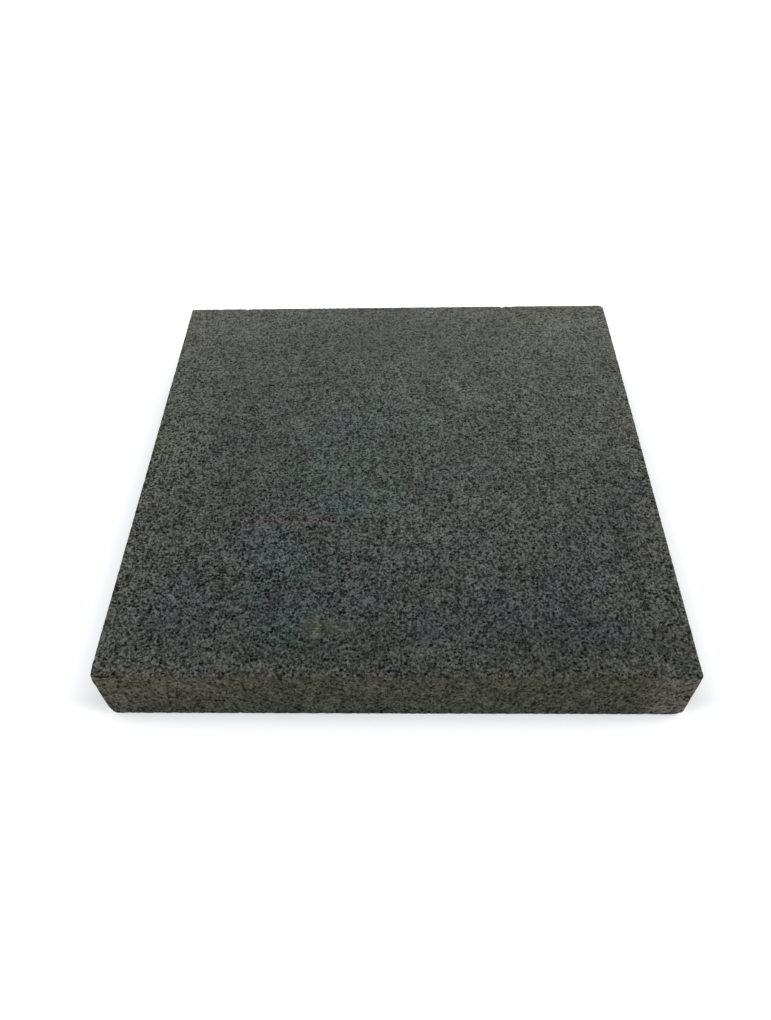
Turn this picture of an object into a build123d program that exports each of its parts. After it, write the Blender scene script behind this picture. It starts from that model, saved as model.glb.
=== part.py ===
from build123d import *
import os

# Bluestone paver: one sawn slab of basalt, lying flat on its bed face.
# Millimetres, +Z up, origin at the middle of the bed face, front face towards -Y.

# Slab
SLAB_WIDTH = 300.0  # left to right
SLAB_DEPTH = 300.0  # front to back
SLAB_THICKNESS = 40.0  # bed face to top face

# Edges worn round by handling
CORNER_RADIUS = 1.5  # three of the upright corners and the borders of the two breaks
WORN_CORNER_RADIUS = 4.0  # the back right upright corner, which has lost the most
TOP_ARRIS_RADIUS = 0.9  # round the top face
BED_ARRIS_RADIUS = 0.7  # round the bed face

# An arris that turns a corner stays this much tighter than the corner
ARRIS_SHARE_OF_CORNER = 0.9

# Break at the lower front left corner: its reach along the three edges that met there
LEFT_BREAK_ACROSS = 2.4
LEFT_BREAK_BACK = 4.0
LEFT_BREAK_UP = 8.0

# Break at the lower front right corner
RIGHT_BREAK_ACROSS = 5.0
RIGHT_BREAK_BACK = 4.0
RIGHT_BREAK_UP = 2.8

LEFT = -1
RIGHT = 1


def sawn_slab():
    """The slab as it leaves the saw, with square edges."""
    return Box(
        SLAB_WIDTH,
        SLAB_DEPTH,
        SLAB_THICKNESS,
        align=(Align.CENTER, Align.CENTER, Align.MIN),
    )


def broken_corner(slab, side, across, back, up):
    """Knock a lower front corner off along the plane through one point on each of its edges."""
    corner = Vector(side * SLAB_WIDTH / 2, -SLAB_DEPTH / 2, 0)
    on_front_edge = corner - Vector(side * across, 0, 0)
    on_side_edge = corner + Vector(0, back, 0)
    on_upright = corner + Vector(0, 0, up)
    outward = (on_side_edge - on_front_edge).cross(on_upright - on_front_edge) * side
    fracture = Plane(on_front_edge, x_dir=on_side_edge - on_front_edge, z_dir=outward)
    return split(slab, bisect_by=fracture, keep=Keep.BOTTOM)


def worn_edges(slab):
    """Round the uprights and the breaks first, then the arris of each face that they run into."""
    back_right = (SLAB_WIDTH / 2, SLAB_DEPTH / 2, SLAB_THICKNESS / 2)
    flat_edges = slab.faces().filter_by(Axis.Z).edges()
    steep_edges = (slab.edges() - flat_edges).sort_by_distance(back_right)
    slab = fillet(steep_edges[1:], CORNER_RADIUS)
    slab = fillet(slab.edges().sort_by_distance(back_right)[0], WORN_CORNER_RADIUS)
    tightest_turn = min(CORNER_RADIUS, WORN_CORNER_RADIUS) * ARRIS_SHARE_OF_CORNER
    top_face = slab.faces().sort_by(Axis.Z)[-1]
    slab = fillet(top_face.edges(), min(TOP_ARRIS_RADIUS, tightest_turn))
    bed_face = slab.faces().sort_by(Axis.Z)[0]
    return fillet(bed_face.edges(), min(BED_ARRIS_RADIUS, tightest_turn))


def paver():
    slab = sawn_slab()
    slab = broken_corner(slab, LEFT, LEFT_BREAK_ACROSS, LEFT_BREAK_BACK, LEFT_BREAK_UP)
    slab = broken_corner(slab, RIGHT, RIGHT_BREAK_ACROSS, RIGHT_BREAK_BACK, RIGHT_BREAK_UP)
    return worn_edges(slab)


os.makedirs("parts", exist_ok=True)
export_step(paver(), "parts/paver.step")
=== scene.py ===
import math
import random

import bpy
from mathutils import Matrix, Vector, noise


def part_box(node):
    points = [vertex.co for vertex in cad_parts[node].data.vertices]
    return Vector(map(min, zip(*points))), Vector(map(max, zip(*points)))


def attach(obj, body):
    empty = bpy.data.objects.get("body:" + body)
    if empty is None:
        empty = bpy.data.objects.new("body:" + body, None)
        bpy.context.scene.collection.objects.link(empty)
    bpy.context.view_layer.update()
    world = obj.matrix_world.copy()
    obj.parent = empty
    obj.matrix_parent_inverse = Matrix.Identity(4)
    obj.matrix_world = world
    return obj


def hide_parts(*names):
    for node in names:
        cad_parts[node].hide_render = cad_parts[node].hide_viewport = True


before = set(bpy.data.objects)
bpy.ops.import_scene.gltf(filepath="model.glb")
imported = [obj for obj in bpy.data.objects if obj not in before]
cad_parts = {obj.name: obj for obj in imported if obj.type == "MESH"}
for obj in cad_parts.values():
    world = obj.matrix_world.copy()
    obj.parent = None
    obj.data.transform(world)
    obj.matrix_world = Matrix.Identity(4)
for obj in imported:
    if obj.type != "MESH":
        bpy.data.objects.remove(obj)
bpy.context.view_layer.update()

# A sawn bluestone paver lying flat on a pale floor. Metres, in the frame of the CAD node "paver".

MM = 0.001

LOW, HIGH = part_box("paver")
HALF = (HIGH.x - LOW.x) / 2  # the slab is square, with its middle over the origin
TOP = HIGH.z

# Worn edges, as on the CAD solid
CORNER_RADIUS = 1.5 * MM
WORN_CORNER_RADIUS = 4.0 * MM
TOP_ARRIS_RADIUS = 0.9 * MM
BED_ARRIS_RADIUS = 0.7 * MM

# Radii of the upright corners: front left, front right, back right, back left
CORNERS = [CORNER_RADIUS, CORNER_RADIUS, WORN_CORNER_RADIUS, CORNER_RADIUS]

# Breaks at the lower front corners: side, then reach across, back and up
BREAKS = [
    (-1, 2.4 * MM, 4.0 * MM, 8.0 * MM),
    (1, 5.0 * MM, 4.0 * MM, 2.8 * MM),
]
BREAK_SOFTNESS = 0.35 * MM
BREAK_GRAIN = 1.6 * MM
BREAK_ROUGHNESS = 0.25 * MM

# Mesh density: columns along one side of the slab, and the cells across the top and bed that they halve to
SIDE_COLUMNS = 384
TOP_CELLS = SIDE_COLUMNS // 2
BED_CELLS = SIDE_COLUMNS // 16
ARRIS_STEPS = 5
BED_ARRIS_STEPS = 3
SIDE_STEPS = 21

# Finishes of the stone, in the order of the material slots, with their shine and roughness
HONED = 0
SAWN = 1
HONED_SHINE = 0.22
HONED_ROUGHNESS = 0.38
SAWN_SHINE = 0.05
SAWN_ROUGHNESS = 0.8

# Flakes lost from the back and front arrises of the top, in millimetres: place, reach and depth
BACK_NICKS = [(-109, 1.7, 1.1), (77, 2.2, 1.0)]
FRONT_NICKS = [(-150, 6.0, 0.55), (-126, 1.2, 0.4), (136, 1.6, 0.5), (146.5, 2.0, 0.6)]

# Smaller flakes that every arris has
SMALL_NICKS_PER_ARRIS = 7
SMALL_NICK_SPREAD = 0.94  # of the half side
SMALL_NICK_REACH = (0.9, 1.8)  # least and greatest, in millimetres
SMALL_NICK_SHARE = (0.4, 1.0)  # least and greatest, of the depth at the top or the bed
TOP_NICK_DEPTH = 0.5 * MM
BED_NICK_DEPTH = 0.4 * MM
NICK_SEED = 11

# Crumbled arris: how far in it reaches, and the sizes of its coarse and fine grains and of its stretches
CRUMBLE_REACH = 2.6 * MM
COARSE_GRAIN = 1.9 * MM
FINE_GRAIN = 0.9 * MM
STRETCH = 22 * MM

# Open faces: size and depth of the pits and of the waves that the saw left
PIT_SIZE = 3.4 * MM
PIT_DEPTH = 0.35 * MM
WAVE_SIZE = 60 * MM
WAVE_DEPTH = 0.1 * MM

# Soft ovals of colour on the top face, in millimetres: middle, reach across and deep, and strength
TEAL = [(-55, -105, 38, 90, 1.0), (-28, -8, 64, 90, 1.0)]
GREEN = [(20, 34, 80, 70, 1.0)]
DULL = [
    (-75, 58, 62, 110, 0.7),
    (-20, 112, 40, 50, 0.7),
    (90, -147, 150, 60, 1.0),
    (140, -40, 40, 60, 0.36),
]
# Paler patches of stone; those along the back edge also paint part of the sheen at the back of the top
BLOOM_AND_SHEEN = [
    (-150, -20, 48, 190, 0.38),
    (-110, 150, 105, 56, 0.5),
    (70, 150, 120, 36, 0.38),
    (130, 150, 85, 66, 0.85),
    (37, -55, 70, 45, 0.2),
    (-128, -150, 85, 38, 0.3),
]
OLIVE = [(100, 140, 40, 16, 0.7)]
SPLASH = [(-41, -121, 9, 13, 1.0), (-30, -121, 18, 5, 1.0)]
PINK = [(-57, -51, 40, 6, 0.8)]
PALE_END = [(150, -150, 32, 20, 1.0)]
# Painted shade of the chipped steps at the front corners of the top
CHIP_SHADE = [(-150, -150, 20, 5, 1.0), (150, -150, 8, 5, 1.0), (136, -150, 4, 4, 1.0)]

# Grain: how it is drawn out along the axes, the shift that picks the slice of it on the top, and its sizes
GRAIN_SCALE = (1.0, 0.9, 0.68)
GRAIN_SHIFT = (0, 0, -0.08 * TOP)
LATH = 1.12 * MM
DARK_CRYSTAL = 1.95 * MM
PALE_CRYSTAL = 4 * MM
WARP_SIZE = 0.9 * MM
WARP_REACH = 1.3 * MM

# How far down the sides the ovals fade, for most colours, for the pale end and for the painted shade at the
# chipped corners
SINK = TOP / 1.2
PALE_END_SINK = 4 * TOP
CHIP_SHADE_SINK = 9 * MM

# Tints that multiply the grey of the grain; those of the foot, which paints shade, and of the bloom, which
# partly paints sheen, multiply the tint under them
PLAIN_TINT = (0.95, 1.03, 0.975, 1)
DULL_TINT = (0.79, 0.86, 0.825, 1)
GREEN_TINT = (0.84, 1.06, 0.945, 1)
TEAL_TINT = (0.80, 1.05, 0.985, 1)
RIM_TINT = (1.10, 1.12, 0.965, 1)
ARRIS_TINT = (1.12, 1.13, 0.92, 1)
SAWN_TINT = (1.17, 1.175, 0.92, 1)
SAWN_END_TINT = (1.42, 1.405, 1.12, 1)
PALE_END_TINT = (1.95, 1.87, 1.53, 1)
FOOT_SHADE_TINT = (0.84, 0.88, 1.0, 1)
BLOOM_AND_SHEEN_TINT = (1.5, 1.49, 1.42, 1)
SPLASH_TINT = (1.22, 1.3, 1.02, 1)
PINK_TINT = (1.19, 1.03, 1.08, 1)
OLIVE_TINT = (1.12, 1.14, 0.92, 1)

# Glow of the floor at the slab and where its shadow ends: in front and behind, on the left, on the right; the
# lower glow next to the slab paints a contact shadow on top of the real one
GLOW_AHEAD = (0.47, 0.6)
GLOW_LEFT = (0.24, 0.55)
GLOW_RIGHT = (0.17, 0.5)
GLOW_REACH_AHEAD = 9 * MM
GLOW_REACH_BESIDE = 34 * MM

# Sheet on which the surface is laid out: the top at full scale, the sides next to it or above, the bed small
SHEET = 392 * MM
SHEET_MARGIN = 3 * MM
STRIP = TOP + SHEET_MARGIN
BED_SCALE = 0.27

# Camera, solved from the corners of the slab in a picture of 771 by 1020 pixels
IMAGE_HEIGHT = 1020
FOCAL_PIXELS = 788.4
SENSOR = 36.0
CAMERA_PLACE = Vector((0.00635, -0.33375, 0.38611))
CAMERA_YAW = math.radians(2.283)
CAMERA_TILT = math.radians(39.999)
CAMERA_ROLL = math.radians(-1.975)


# Mesh of the slab

def outline(inset, count):
    """Points and outward normals of the plan outline, drawn in by inset, from mid-corner to mid-corner."""
    half = HALF - inset
    points = []
    normals = []
    for side in range(4):
        turn = Matrix.Rotation(side * math.pi / 2, 2)
        for step in range(count):
            along = (2 * step / count - 1) * half
            reach = half - abs(along)
            corner = CORNERS[side if along < 0 else (side + 1) % 4]
            radius = max(corner - inset, 0.0)
            lean = 0.0
            place = Vector((along, -half))
            if reach < radius:
                lean = math.copysign(math.pi / 4 * (1 - reach / radius), along)
                middle = math.copysign(half - radius, along)
                place = Vector((middle + radius * math.sin(lean), radius - half - radius * math.cos(lean)))
            points.append(turn @ place)
            normals.append(turn @ Vector((math.sin(lean), -math.cos(lean))))
    return points, normals


def profile():
    """Rings from the top face to the bed: inset, height and lean of the normal."""
    rings = []
    for step in range(ARRIS_STEPS + 1):
        angle = math.pi / 2 * (1 - step / ARRIS_STEPS)
        inset = TOP_ARRIS_RADIUS * (1 - math.cos(angle))
        height = TOP - TOP_ARRIS_RADIUS * (1 - math.sin(angle))
        rings.append((inset, height, angle))
    wall = TOP - TOP_ARRIS_RADIUS - BED_ARRIS_RADIUS
    for step in range(1, SIDE_STEPS):
        rings.append((0.0, TOP - TOP_ARRIS_RADIUS - wall * step / SIDE_STEPS, 0.0))
    for step in range(BED_ARRIS_STEPS + 1):
        angle = -math.pi / 2 * step / BED_ARRIS_STEPS
        inset = BED_ARRIS_RADIUS * (1 - math.cos(angle))
        height = BED_ARRIS_RADIUS * (1 + math.sin(angle))
        rings.append((inset, height, angle))
    return rings


def top_spot(plan):
    """Place on the sheet of a point of the top."""
    middle = SHEET_MARGIN + HALF
    return (middle + plan.x) / SHEET, (middle + plan.y) / SHEET


def side_spot(side, column, rise):
    """Place on the sheet of a point of a side: front and back lie above the top, the others next to it."""
    along = 2 * HALF * column / SIDE_COLUMNS
    across = 2 * (HALF + SHEET_MARGIN) + rise + (STRIP if side > 1 else 0.0)
    if side % 2:
        return across / SHEET, (SHEET_MARGIN + 2 * HALF - along) / SHEET
    return (SHEET_MARGIN + along) / SHEET, across / SHEET


def bed_spot(plan):
    """Place on the sheet of a point of the bed, in the corner that the sides leave."""
    middle = 2 * (HALF + SHEET_MARGIN) + STRIP - SHEET_MARGIN / 2
    return (middle - BED_SCALE * plan.x) / SHEET, (middle + BED_SCALE * plan.y) / SHEET


class SlabMesh:
    """Vertices, their outward normals, the faces of the closed slab and their layout on the sheet."""

    def __init__(self):
        self.places = []
        self.normals = []
        self.plans = []  # each vertex on the plan, the top arris unrolled outwards
        self.rises = []  # each vertex up the side, measured along the surface from the bed
        self.faces = []
        self.finishes = []
        self.spots = []  # each corner of each face on the sheet

    def vertex(self, place, normal, plan, rise=0.0):
        self.places.append(place)
        self.normals.append(normal)
        self.plans.append(plan)
        self.rises.append(rise)
        return len(self.places) - 1

    def ring(self, inset, height, lean, count):
        points, outward = outline(inset, count)
        wall = min(max(height, BED_ARRIS_RADIUS), TOP - TOP_ARRIS_RADIUS) - BED_ARRIS_RADIUS
        rise = BED_ARRIS_RADIUS * (math.pi / 2 + min(lean, 0.0)) + wall + TOP_ARRIS_RADIUS * max(lean, 0.0)
        unrolled = TOP_ARRIS_RADIUS * (math.pi / 2 - lean - math.cos(lean)) if lean > 0 else 0.0
        made = []
        for point, normal in zip(points, outward):
            flat = normal * math.cos(lean)
            made.append(self.vertex((point.x, point.y, height), (flat.x, flat.y, math.sin(lean)),
                                    point + normal * unrolled, rise))
        return made

    def add(self, face, finish, spots):
        self.faces.append(face)
        self.finishes.append(finish)
        self.spots += spots

    def add_flat(self, face, upward):
        """A face of the top or, turned over, of the bed."""
        if upward:
            self.add(face, HONED, [top_spot(self.plans[i]) for i in face])
        else:
            face = face[::-1]
            self.add(face, SAWN, [bed_spot(self.plans[i]) for i in face])

    def top_band(self, upper, lower):
        """Quads between two rings of the top arris."""
        count = len(upper)
        for i in range(count):
            j = (i + 1) % count
            self.add_flat((upper[i], lower[i], lower[j], upper[j]), True)

    def side_band(self, upper, lower):
        """Quads between two rings of the sides."""
        for i in range(len(upper)):
            j = (i + 1) % len(upper)
            side, column = divmod(i, SIDE_COLUMNS)
            high = self.rises[upper[i]]
            low = self.rises[lower[i]]
            spots = [side_spot(side, column, high), side_spot(side, column, low),
                     side_spot(side, column + 1, low), side_spot(side, column + 1, high)]
            self.add((upper[i], lower[i], lower[j], upper[j]), SAWN, spots)

    def halving(self, fine, coarse, upward):
        """Triangles between a ring and one with half its count, on a flat face."""
        count = len(coarse)
        for i in range(count):
            j = (i + 1) % count
            a, b, c = fine[2 * i], fine[2 * i + 1], fine[(2 * i + 2) % len(fine)]
            for face in ((a, b, coarse[i]), (b, coarse[j], coarse[i]), (b, c, coarse[j])):
                self.add_flat(face, upward)

    def sheet(self, border, cells, inset, height, upward):
        """A grid of quads that fills a square ring."""
        half = HALF - inset
        grid = {}
        for i in range(cells):
            grid[i, 0] = border[i]
            grid[cells, i] = border[cells + i]
            grid[cells - i, cells] = border[2 * cells + i]
            grid[0, cells - i] = border[3 * cells + i]
        for i in range(1, cells):
            for j in range(1, cells):
                plan = Vector(((2 * i / cells - 1) * half, (2 * j / cells - 1) * half))
                grid[i, j] = self.vertex((plan.x, plan.y, height), (0.0, 0.0, 1.0 if upward else -1.0), plan)
        for i in range(cells):
            for j in range(cells):
                self.add_flat((grid[i, j], grid[i + 1, j], grid[i + 1, j + 1], grid[i, j + 1]), upward)


def slab_mesh():
    slab = SlabMesh()
    rings = [slab.ring(inset, height, lean, SIDE_COLUMNS) for inset, height, lean in profile()]
    for number, (upper, lower) in enumerate(zip(rings, rings[1:])):
        if number < ARRIS_STEPS // 2:
            slab.top_band(upper, lower)
        else:
            slab.side_band(upper, lower)
    step = 2 * HALF / SIDE_COLUMNS
    inset = TOP_ARRIS_RADIUS + step
    border = slab.ring(inset, TOP, math.pi / 2, TOP_CELLS)
    slab.halving(rings[0], border, True)
    slab.sheet(border, TOP_CELLS, inset, TOP, True)
    inset = BED_ARRIS_RADIUS
    count = SIDE_COLUMNS
    fine = rings[-1]
    while count > BED_CELLS:
        inset += step
        step *= 2
        count //= 2
        coarse = slab.ring(inset, 0.0, -math.pi / 2, count)
        slab.halving(fine, coarse, False)
        fine = coarse
    slab.sheet(fine, BED_CELLS, inset, 0.0, False)
    return slab


# Wear and relief, always inwards from the sawn faces

def edge_distance(place):
    """Distance to the nearest arris: the middle one of the three distances to the faces."""
    gaps = sorted((HALF - abs(place.x), HALF - abs(place.y), min(TOP - place.z, place.z)))
    return gaps[1]


def ragged(place, near):
    """Crumbled arris: grains lost along the edge, more of them in some stretches than others."""
    lost = noise.noise(place / COARSE_GRAIN) + 0.6 * noise.noise(place / FINE_GRAIN + Vector((7, 3, 5)))
    stretch = 0.5 + 0.5 * noise.noise(place / STRETCH + Vector((31, 17, 11)))
    return max(0.0, lost + 0.25) * (0.12 + 0.3 * stretch) * MM * near


def pitted(place):
    """Shallow pits and saw waviness of an open face."""
    pit = max(0.0, noise.noise(place / PIT_SIZE + Vector((3, 9, 27))) - 0.22)
    wave = 0.5 + 0.5 * noise.noise(place / WAVE_SIZE + Vector((5, 1, 8)))
    return pit * PIT_DEPTH + wave * WAVE_DEPTH


def nicks():
    """Flakes lost from the arrises: middle, reach and depth."""
    rng = random.Random(NICK_SEED)
    found = []
    for edge, flakes in ((HALF, BACK_NICKS), (-HALF, FRONT_NICKS)):
        found += [(Vector((x * MM, edge, TOP)), reach * MM, depth * MM) for x, reach, depth in flakes]
    for height, deepest in ((TOP, TOP_NICK_DEPTH), (0.0, BED_NICK_DEPTH)):
        for side in range(4):
            turn = Matrix.Rotation(side * math.pi / 2, 3, "Z")
            for _ in range(SMALL_NICKS_PER_ARRIS):
                along = rng.uniform(-SMALL_NICK_SPREAD, SMALL_NICK_SPREAD) * HALF
                reach = rng.uniform(*SMALL_NICK_REACH) * MM
                depth = rng.uniform(*SMALL_NICK_SHARE) * deepest
                found.append((turn @ Vector((along, -HALF, height)), reach, depth))
    return found


def broken(place):
    """Push a point behind each break, with a short soft border."""
    for side, across, back, up in BREAKS:
        corner = Vector((side * HALF, -HALF, 0.0))
        inward = Vector((-side / across, 1 / back, 1 / up))
        short = (1 - (place - corner).dot(inward)) / inward.length
        if short > -6 * BREAK_SOFTNESS:
            push = BREAK_SOFTNESS * math.log1p(math.exp(short / BREAK_SOFTNESS))
            rough = BREAK_ROUGHNESS * noise.noise(place / BREAK_GRAIN) * min(1.0, max(0.0, short / MM))
            place = place + inward.normalized() * (push + abs(rough))
    return place


def worn(slab):
    flakes = nicks()
    places = []
    for place, normal in zip(map(Vector, slab.places), map(Vector, slab.normals)):
        near = max(0.0, 1 - edge_distance(place) / CRUMBLE_REACH)
        depth = pitted(place)
        if near:
            depth += ragged(place, near)
            for middle, reach, deep in flakes:
                away = (place - middle).length / reach
                if away < 1:
                    depth += deep * (1 - away * away) ** 2
        places.append(broken(place - normal * depth))
    return places


def build_paver():
    slab = slab_mesh()
    mesh = bpy.data.meshes.new("paver_stone")
    mesh.from_pydata([tuple(place) for place in worn(slab)], [], slab.faces)
    mesh.polygons.foreach_set("use_smooth", [True] * len(mesh.polygons))
    mesh.polygons.foreach_set("material_index", slab.finishes)
    layout = mesh.uv_layers.new(name="OFBake")
    layout.data.foreach_set("uv", [value for spot in slab.spots for value in spot])
    mesh.materials.append(stone_material("bluestone_honed", HONED_SHINE, HONED_ROUGHNESS))
    mesh.materials.append(stone_material("bluestone_sawn", SAWN_SHINE, SAWN_ROUGHNESS))
    mesh.update()
    paver = bpy.data.objects.new("paver_stone", mesh)
    bpy.context.collection.objects.link(paver)
    return paver


# Materials

class Graph:
    """Short forms for the shader nodes that the materials use."""

    def __init__(self, name):
        self.material = bpy.data.materials.new(name)
        self.material.use_nodes = True
        self.tree = self.material.node_tree
        self.tree.nodes.clear()

    def node(self, kind, inputs=None, **settings):
        made = self.tree.nodes.new(kind)
        for key, value in settings.items():
            setattr(made, key, value)
        for key, value in (inputs or {}).items():
            self.put(made.inputs[key], value)
        return made

    def put(self, socket, value):
        if isinstance(value, bpy.types.NodeSocket):
            self.tree.links.new(value, socket)
        else:
            socket.default_value = value

    def noise(self, where, size, detail=2.0):
        made = self.node("ShaderNodeTexNoise", {
            "Vector": where, "Scale": 1 / size, "Detail": detail, "Roughness": 0.55})
        return made.outputs["Fac"]

    def cells(self, where, size):
        return self.node("ShaderNodeTexVoronoi", {"Vector": where, "Scale": 1 / size})

    def ramp(self, value, low, high, start=0.0, end=1.0):
        made = self.node("ShaderNodeMapRange", {
            "Value": value, "From Min": low, "From Max": high, "To Min": start, "To Max": end},
            interpolation_type="SMOOTHSTEP")
        return made.outputs["Result"]

    def math(self, operation, first, second=0.0):
        made = self.node("ShaderNodeMath", operation=operation)
        self.put(made.inputs[0], first)
        self.put(made.inputs[1], second)
        return made.outputs[0]

    def steps(self, value, stops):
        """A ramp through grey tones: (place, tone) pairs."""
        made = self.node("ShaderNodeValToRGB", {"Fac": value})
        marks = made.color_ramp.elements
        while len(marks) < len(stops):
            marks.new(1.0)
        for mark, (place, tone) in zip(marks, stops):
            mark.position = place
            mark.color = grey(tone)
        return made.outputs["Color"]

    def vector(self, operation, first, second=(0, 0, 0)):
        return self.node("ShaderNodeVectorMath", {0: first, 1: second}, operation=operation).outputs["Vector"]

    def length(self, first):
        return self.node("ShaderNodeVectorMath", {0: first}, operation="LENGTH").outputs["Value"]

    def ovals(self, where, spots, sink=SINK):
        """Soft ovals on the top, full in the middle and 0 outside, that fade down the sides over sink."""
        found = None
        for x, y, across, deep, strength in spots:
            moved = self.vector("SUBTRACT", where, (x * MM, y * MM, TOP))
            scaled = self.vector("MULTIPLY", moved, (1 / (across * MM), 1 / (deep * MM), 1 / sink))
            oval = self.ramp(self.length(scaled), 0.3, 1.0, strength, 0.0)
            found = oval if found is None else self.math("MAXIMUM", found, oval)
        return found

    def mix(self, share, first, second, blend="MIX"):
        made = self.node("ShaderNodeMix", data_type="RGBA", blend_type=blend)
        self.put(made.inputs["Factor"], share)
        self.put(made.inputs["A"], first)
        self.put(made.inputs["B"], second)
        return made.outputs["Result"]


def grey(value):
    return (value, value, value, 1.0)


class StoneGraph(Graph):
    """A graph that knows which part of the slab each place is on."""

    def __init__(self, name):
        super().__init__(name)
        self.where = self.node("ShaderNodeTexCoord").outputs["Object"]
        axes = self.node("ShaderNodeSeparateXYZ", {"Vector": self.where}).outputs
        self.y = axes["Y"]
        self.z = axes["Z"]

        # Distance in from the nearest side face, and from the nearer upright corner along that face
        aside = self.math("ABSOLUTE", axes["X"])
        along = self.math("ABSOLUTE", axes["Y"])
        self.inside = self.math("SUBTRACT", HALF, self.math("MAXIMUM", aside, along))
        self.to_corner = self.math("SUBTRACT", HALF, self.math("MINIMUM", aside, along))

        # 1 on the sides and the bed, 0 on the top
        side = self.ramp(self.inside, 0.2 * MM, 0.9 * MM, 1.0, 0.0)
        self.side = self.math("MAXIMUM", side, self.ramp(self.z, 0.2 * MM, 1.5 * MM, 1.0, 0.0))

    def times(self, first, second):
        """Two colours multiplied."""
        return self.mix(1.0, first, second, "MULTIPLY")


def ground_mass(g, drawn):
    """Pale and dark laths, with less contrast on the sides and a little less at the front of the top."""
    level = g.math("ADD", g.noise(drawn, LATH, 1.2), g.math("MULTIPLY", g.noise(drawn, 6 * MM), 0.3))
    tone = g.steps(level, [
        (0.41, 0.003), (0.51, 0.015), (0.61, 0.05), (0.70, 0.094), (0.77, 0.126), (0.90, 0.17)])
    even = g.math("MAXIMUM", g.math("MULTIPLY", g.side, 0.52), g.ramp(g.y, -HALF, -80 * MM, 0.22, 0.0))
    return g.mix(even, tone, grey(0.05))


def dark_crystals(g, drawn, bent):
    """How far each place lies in a dark crystal, of many sizes and depths, larger where they gather."""
    dark = g.cells(g.vector("MULTIPLY", bent, (0.92, 1.1, 1.0)), DARK_CRYSTAL)
    chance = g.node("ShaderNodeSeparateColor", {"Color": dark.outputs["Color"]})
    gather = g.ramp(g.noise(g.where, 9 * MM), 0.3, 0.7, 0.2, 0.38)
    reach = g.math("ADD", g.math("MULTIPLY", chance.outputs["Red"], gather), 0.22)
    crooked = g.math("MULTIPLY", g.math("SUBTRACT", g.noise(drawn, 0.8 * MM, 1.0), 0.5), 0.9)
    rim = g.math("SUBTRACT", g.math("ADD", dark.outputs["Distance"], crooked), reach)
    speck = g.ramp(rim, -0.06, 0.06, 1.0, 0.0)
    speck = g.math("MULTIPLY", speck, g.ramp(chance.outputs["Green"], 0.0, 0.8, 0.48, 1.0))
    return g.math("MULTIPLY", speck, g.ramp(g.side, 0.0, 1.0, 1.0, 0.75))


def pale_crystals(g, bent):
    """How far each place lies in a small bright crystal."""
    away = g.cells(g.vector("ADD", bent, (0.3, 0.1, 0.2)), PALE_CRYSTAL).outputs["Distance"]
    return g.math("MULTIPLY", g.ramp(away, 0.1, 0.2, 0.65, 0.0), g.ramp(g.side, 0.0, 1.0, 1.0, 0.3))


def grain(g):
    """Salt and pepper of crystals: the tone, and how far each place lies in a dark speck."""
    drawn = g.vector("ADD", g.vector("MULTIPLY", g.where, GRAIN_SCALE), GRAIN_SHIFT)
    warp = g.node("ShaderNodeTexNoise", {"Vector": drawn, "Scale": 1 / WARP_SIZE, "Detail": 1.0})
    warp = g.vector("SUBTRACT", warp.outputs["Color"], (0.5, 0.5, 0.5))
    bent = g.vector("ADD", drawn, g.vector("MULTIPLY", warp, (WARP_REACH,) * 3))
    speck = dark_crystals(g, drawn, bent)
    tone = g.mix(speck, ground_mass(g, drawn), grey(0.001))
    tone = g.mix(pale_crystals(g, bent), tone, grey(0.2))

    # Sawn sides: faint level streaks from the blade
    streaks = g.noise(g.vector("MULTIPLY", g.where, (0.4, 0.4, 1.0)), 3 * MM)
    tone = g.mix(g.side, tone, g.times(tone, g.steps(streaks, [(0.3, 0.78), (0.7, 1.22)])))

    # Towards the back of the top the grain is less marked: a painted stand-in for the sheen that washes out
    # its contrast there, and for blur
    sheen_and_blur_calm = g.ramp(g.y, 20 * MM, HALF, 0.0, 0.42)
    return g.mix(g.math("MULTIPLY", sheen_and_blur_calm, g.math("SUBTRACT", 1.0, g.side)), tone, grey(0.052)), speck


def top_tint(g):
    """Slow drifts of colour on the top: teal in the middle, green beside it, an olive bloom on the rim."""
    where = g.where
    drift = g.ramp(g.noise(where, 26 * MM), 0.36, 0.54, 0.35, 1.0)
    rim = g.math("MULTIPLY", g.ramp(g.inside, 2 * MM, 26 * MM, 0.9, 0.0),
                 g.ramp(g.noise(where, 34 * MM), 0.35, 0.6, 0.3, 1.0))
    tint = g.mix(g.ovals(where, DULL), PLAIN_TINT, DULL_TINT)
    tint = g.mix(g.math("MULTIPLY", g.ovals(where, GREEN), drift), tint, GREEN_TINT)
    tint = g.mix(g.math("MULTIPLY", g.ovals(where, TEAL), drift), tint, TEAL_TINT)
    tint = g.mix(rim, tint, RIM_TINT)

    # Slow mottling in tone and from olive to blue, bluer to the front, and flecks of warmer and greener stone
    cloud = g.ramp(g.noise(where, 24 * MM), 0.3, 0.7)
    tint = g.times(tint, g.mix(cloud, grey(0.88), grey(1.12)))
    cast = g.ramp(g.noise(g.vector("ADD", where, (0.4, 0.2, 0.1)), 34 * MM, 1.0), 0.3, 0.7)
    tint = g.times(tint, g.mix(cast, (1.0, 1.0, 0.95, 1), (1.0, 1.0, 1.05, 1)))
    cool = g.ramp(g.y, -70 * MM, 15 * MM)
    tint = g.times(tint, g.mix(cool, (1.0, 1.0, 1.015, 1), (1.0, 1.0, 0.985, 1)))
    warm = g.ramp(g.noise(where, 7 * MM, 1.0), 0.35, 0.65)
    tint = g.times(tint, g.mix(warm, (0.975, 1.01, 0.98, 1), (1.03, 0.985, 1.02, 1)))

    # The olive of the sides, which reaches a little way over the arris
    over = g.math("ADD", g.inside, g.math("MULTIPLY", g.noise(where, 2 * MM), 2 * MM))
    return g.mix(g.ramp(over, 1.0 * MM, 4.0 * MM, 0.8, 0.0), tint, ARRIS_TINT)


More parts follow.
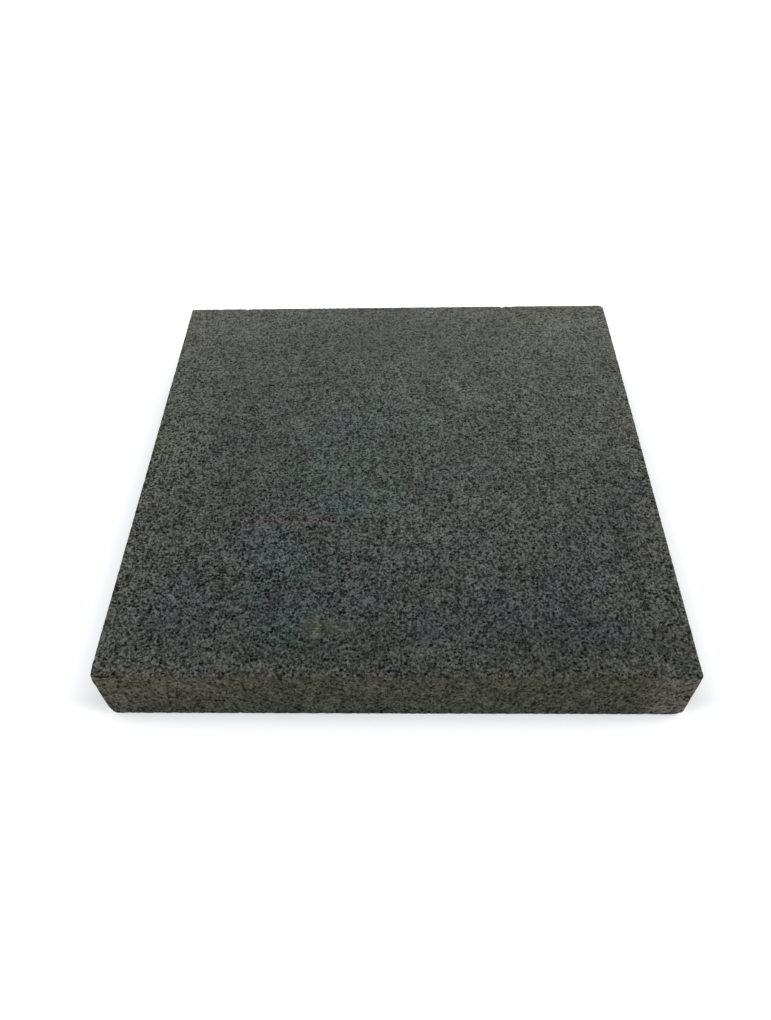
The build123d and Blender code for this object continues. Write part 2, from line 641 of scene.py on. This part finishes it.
def sawn_tint(g):
    """Olive sides, paler at their ends, most of all at the front right, and greyer at the foot, where the
    grey is painted shade next to the floor.
    """
    tint = g.mix(g.ramp(g.to_corner, 3 * MM, 26 * MM, 1.0, 0.0), SAWN_TINT, SAWN_END_TINT)
    tint = g.mix(g.ovals(g.where, PALE_END, PALE_END_SINK), tint, PALE_END_TINT)
    # Painted shade at the foot of the sides, next to the floor
    foot_shade = g.math("MULTIPLY", g.ramp(g.z, 3 * MM, 10 * MM, 1.0, 0.0),
                  g.ramp(g.noise(g.where, 14 * MM), 0.35, 0.6, 0.3, 1.0))
    return g.mix(foot_shade, tint, g.times(tint, FOOT_SHADE_TINT))


def marked(g, tone, tint):
    """Marks on the top face: a dried olive splash with a tail, a faint pink streak, an olive patch."""
    splash = g.math("MULTIPLY", g.ovals(g.where, SPLASH), g.ramp(g.noise(g.where, 4 * MM), 0.25, 0.5))
    tint = g.mix(splash, tint, SPLASH_TINT)
    tint = g.mix(g.ovals(g.where, PINK), tint, PINK_TINT)
    tint = g.mix(g.ovals(g.where, OLIVE), tint, OLIVE_TINT)
    smear = g.noise(g.vector("MULTIPLY", g.where, (0.35, 1.0, 1.0)), 1.2 * MM, 1.0)
    smear = g.steps(smear, [(0.38, 0.03), (0.55, 0.062), (0.68, 0.17)])
    return g.mix(g.math("MULTIPLY", splash, 0.6), tone, smear), tint


def arris_shade(g):
    """Painted shade of the chipped steps along the worn arrises, in patches and at the two front corners of
    the top.
    """
    level_arris = g.math("MINIMUM", g.z, g.math("SUBTRACT", TOP, g.z))
    level_arris = g.math("MAXIMUM", g.inside, level_arris)
    arris = g.ramp(g.math("MINIMUM", level_arris, g.to_corner), 0.45 * MM, 1.3 * MM, 1.0, 0.0)
    shade_patches = g.ramp(g.noise(g.where, 6 * MM), 0.55, 0.75, 0.0, 0.4)
    shade_patches = g.math("MULTIPLY", shade_patches, g.ramp(g.y, 60 * MM, HALF, 1.0, 0.3))
    return g.math("MULTIPLY", arris, g.math("MAXIMUM", shade_patches, g.ovals(g.where, CHIP_SHADE, CHIP_SHADE_SINK)))


def stone_material(name, shine, roughness):
    g = StoneGraph(name)
    tone, speck = grain(g)
    tint = g.mix(g.side, top_tint(g), sawn_tint(g))

    # Paler patches, most of all at the back right corner; those along the back edge also paint part of the
    # sheen that brightens the back of the top
    tint = g.mix(g.ovals(g.where, BLOOM_AND_SHEEN), tint, BLOOM_AND_SHEEN_TINT, "MULTIPLY")
    tone, tint = marked(g, tone, tint)
    # Painted shade along the chipped arrises
    tone = g.mix(arris_shade(g), tone, grey(0.008))

    bump = g.node("ShaderNodeBump", {"Height": speck, "Strength": 0.3, "Distance": 0.3 * MM}, invert=True)
    shader = g.node("ShaderNodeBsdfPrincipled", {
        "Base Color": g.times(tone, tint),
        "Roughness": g.ramp(speck, 0.0, 1.0, roughness, roughness + 0.15),
        "Specular IOR Level": g.ramp(speck, 0.0, 1.0, shine, 0.45 * shine),
        "Normal": bump.outputs["Normal"]})
    g.node("ShaderNodeOutputMaterial", {"Surface": shader.outputs["BSDF"]})
    return g.material


def floor_material():
    g = Graph("pale_floor")
    path = g.node("ShaderNodeLightPath")
    seen = g.math("MAXIMUM", path.outputs["Is Camera Ray"], path.outputs["Is Glossy Ray"])
    seen = g.math("MAXIMUM", seen, path.outputs["Is Transmission Ray"])
    where = g.node("ShaderNodeTexCoord").outputs["Object"]

    # White further out, and less so next to the slab, where the floor keeps its real shadow and the dimmer
    # glow paints more shadow, darkest at the sides
    outside = g.vector("SUBTRACT", g.vector("ABSOLUTE", where), (HALF, HALF, 0))
    gap = g.length(g.vector("MAXIMUM", outside, (0, 0, 0)))
    past = g.node("ShaderNodeSeparateXYZ", {"Vector": outside}).outputs
    across = g.node("ShaderNodeSeparateXYZ", {"Vector": where}).outputs["X"]
    beside = g.math("MULTIPLY", g.ramp(past["X"], -4 * MM, 4 * MM),
                    g.ramp(past["Y"], -11 * MM, 6 * MM, 1.0, 0.0))
    right = g.ramp(across, HALF - 4 * MM, HALF + 4 * MM)
    levels = []
    for ahead, on_left, on_right in zip(GLOW_AHEAD, GLOW_LEFT, GLOW_RIGHT):
        levels.append(g.ramp(beside, 0.0, 1.0, ahead, g.ramp(right, 0.0, 1.0, on_left, on_right)))
    reach = g.ramp(beside, 0.0, 1.0, GLOW_REACH_AHEAD, GLOW_REACH_BESIDE)
    near = g.ramp(gap, 0.0, reach, *levels)
    white = g.ramp(g.length(where), 0.5, 1.0, near, 1.0)
    matt = g.node("ShaderNodeBsdfDiffuse", {"Color": grey(0.9)})
    # The faint blue of the glow paints a bluish cast into the floor's shadows
    glow = g.node("ShaderNodeEmission", {
        "Color": (0.97, 1.0, 1.03, 1.0), "Strength": g.math("MULTIPLY", seen, white)})
    both = g.node("ShaderNodeAddShader")
    g.put(both.inputs[0], matt.outputs["BSDF"])
    g.put(both.inputs[1], glow.outputs["Emission"])
    g.node("ShaderNodeOutputMaterial", {"Surface": both.outputs["Shader"]})
    return g.material


# Stage

def build_floor():
    reach = 6.0
    mesh = bpy.data.meshes.new("floor")
    corners = [(-reach, -reach, 0), (reach, -reach, 0), (reach, reach, 0), (-reach, reach, 0)]
    mesh.from_pydata(corners, [], [(0, 1, 2, 3)])
    floor = bpy.data.objects.new("floor", mesh)
    floor.data.materials.append(floor_material())
    bpy.context.collection.objects.link(floor)


def area_light(name, place, aim, size, radiance, colour=(1.0, 1.0, 1.0)):
    """A soft panel of the given width and height, as bright as radiance all over."""
    lamp = bpy.data.lights.new(name, "AREA")
    lamp.shape = "RECTANGLE"
    lamp.size, lamp.size_y = size
    lamp.energy = math.pi * size[0] * size[1] * radiance
    lamp.color = colour
    holder = bpy.data.objects.new(name, lamp)
    holder.location = place
    holder.rotation_euler = (Vector(aim) - Vector(place)).to_track_quat("-Z", "Y").to_euler()
    bpy.context.collection.objects.link(holder)


def build_light():
    world = bpy.data.worlds.new("studio")
    world.use_nodes = True
    nodes = world.node_tree.nodes
    sky = nodes["Background"]
    sky.inputs["Color"].default_value = (0.97, 0.99, 1.03, 1.0)
    sky.inputs["Strength"].default_value = 0.2
    white = nodes.new("ShaderNodeBackground")
    choice = nodes.new("ShaderNodeMixShader")
    links = world.node_tree.links
    links.new(nodes.new("ShaderNodeLightPath").outputs["Is Camera Ray"], choice.inputs[0])
    links.new(sky.outputs["Background"], choice.inputs[1])
    links.new(white.outputs["Background"], choice.inputs[2])
    links.new(choice.outputs["Shader"], nodes["World Output"].inputs["Surface"])
    white.inputs["Color"].default_value = grey(1.0)
    bpy.context.scene.world = world
    area_light("backdrop", (0.05, 0.85, 0.62), (0, 0.1, 0.04), (1.2, 0.42), 2.5, (1.0, 1.0, 0.93))
    area_light("right", (1.36, 0.17, 1.0), (0, 0, 0), (1.2, 1.0), 3.8)
    area_light("left", (-1.36, 0.17, 1.0), (0, 0, 0), (1.2, 1.0), 2.2)
    area_light("fill", (-0.2, -1.5, 0.35), (0, 0, 0), (1.4, 0.6), 3.4)


def build_camera():
    lens = bpy.data.cameras.new("camera")
    lens.sensor_fit = "VERTICAL"
    lens.sensor_height = SENSOR
    lens.lens = FOCAL_PIXELS / IMAGE_HEIGHT * SENSOR
    camera = bpy.data.objects.new("camera", lens)
    camera.matrix_world = (
        Matrix.Translation(CAMERA_PLACE)
        @ Matrix.Rotation(CAMERA_YAW, 4, "Z")
        @ Matrix.Rotation(CAMERA_TILT, 4, "X")
        @ Matrix.Rotation(CAMERA_ROLL, 4, "Z")
    )
    bpy.context.collection.objects.link(camera)
    bpy.context.scene.camera = camera


bpy.context.scene.view_settings.view_transform = "Standard"
paver = build_paver()
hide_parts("paver")
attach(paver, "root")
build_floor()
build_light()
build_camera()
